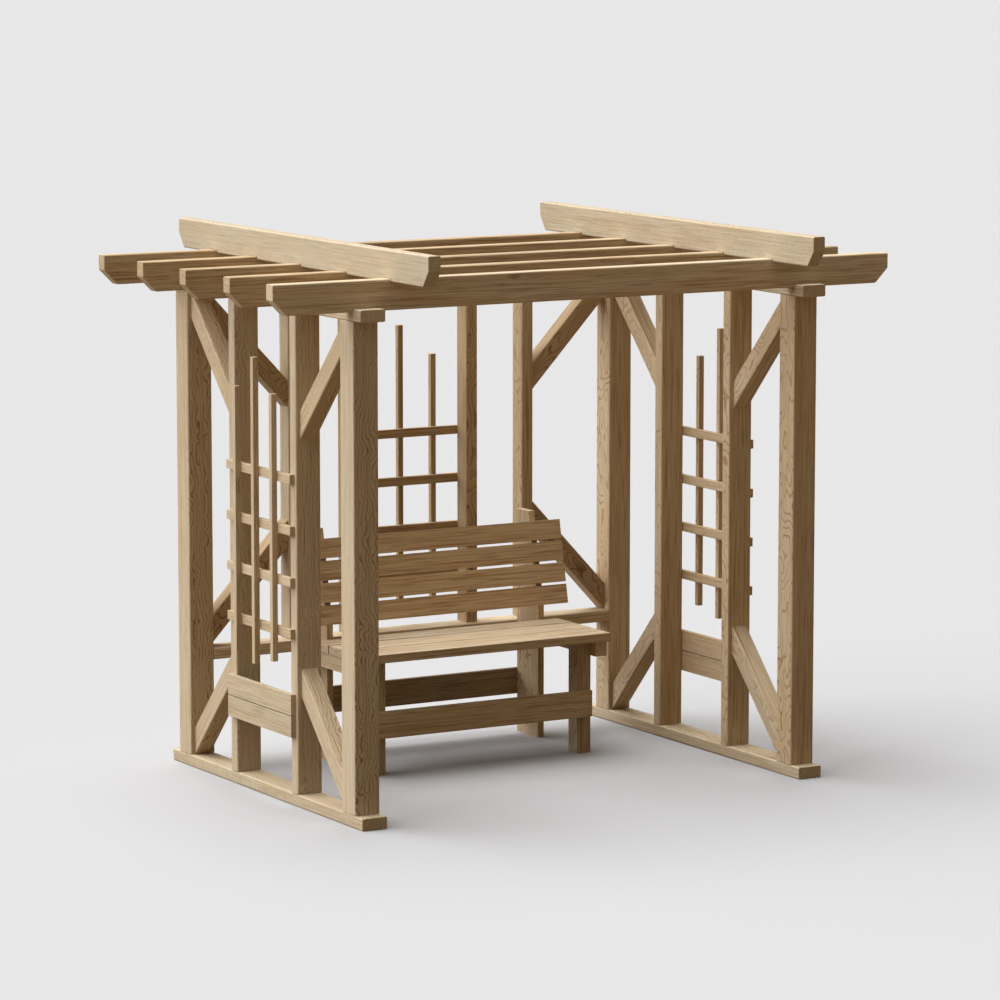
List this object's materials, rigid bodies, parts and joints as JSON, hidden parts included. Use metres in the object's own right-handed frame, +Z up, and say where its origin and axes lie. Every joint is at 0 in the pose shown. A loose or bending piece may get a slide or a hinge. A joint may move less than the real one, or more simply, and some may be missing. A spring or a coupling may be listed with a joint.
{
  "type": "pergola",
  "caption": "Open garden pergola of sawn timber with braced side and back frames, trellis panels, flat slatted roof of rafters and cross beams, and a slatted bench inside against the back",
  "frame": {"origin": "on the ground, under the middle of the roof", "axes": "+X to the right along the rafters, +Y from the open front to the back, +Z up"},
  "size_m": [2.577, 1.949, 2.048],
  "materials": {
    "timber": "bare sawn softwood, planed smooth, edges slightly eased"
  },
  "bodies": {
    "root": {"back_braces": "timber", "back_rail": "timber", "back_trellis": "timber", "bench_back_slats": "timber", "bench_back_stretcher": "timber", "bench_front_stretcher": "timber", "bench_seat_boards": "timber", "fourth_rafter": "timber", "front_rafter": "timber", "left_bench_front_leg": "timber", "left_bench_rear_leg": "timber", "left_bench_seat_rail": "timber", "left_braces": "timber", "left_front_post": "timber", "left_front_stud": "timber", "left_inner_back_stud": "timber", "left_low_boards": "timber", "left_outer_back_stud": "timber", "left_rear_post": "timber", "left_rear_stud": "timber", "left_roof_beam": "timber", "left_sill": "timber", "left_top_plate": "timber", "left_trellis": "timber", "middle_rafter": "timber", "rear_rafter": "timber", "right_bench_front_leg": "timber", "right_bench_rear_leg": "timber", "right_bench_seat_rail": "timber", "right_braces": "timber", "right_front_post": "timber", "right_front_stud": "timber", "right_inner_back_stud": "timber", "right_low_boards": "timber", "right_outer_back_stud": "timber", "right_rear_post": "timber", "right_rear_stud": "timber", "right_roof_beam": "timber", "right_sill": "timber", "right_top_plate": "timber", "right_trellis": "timber", "second_rafter": "timber"}
  },
  "joints": []
}
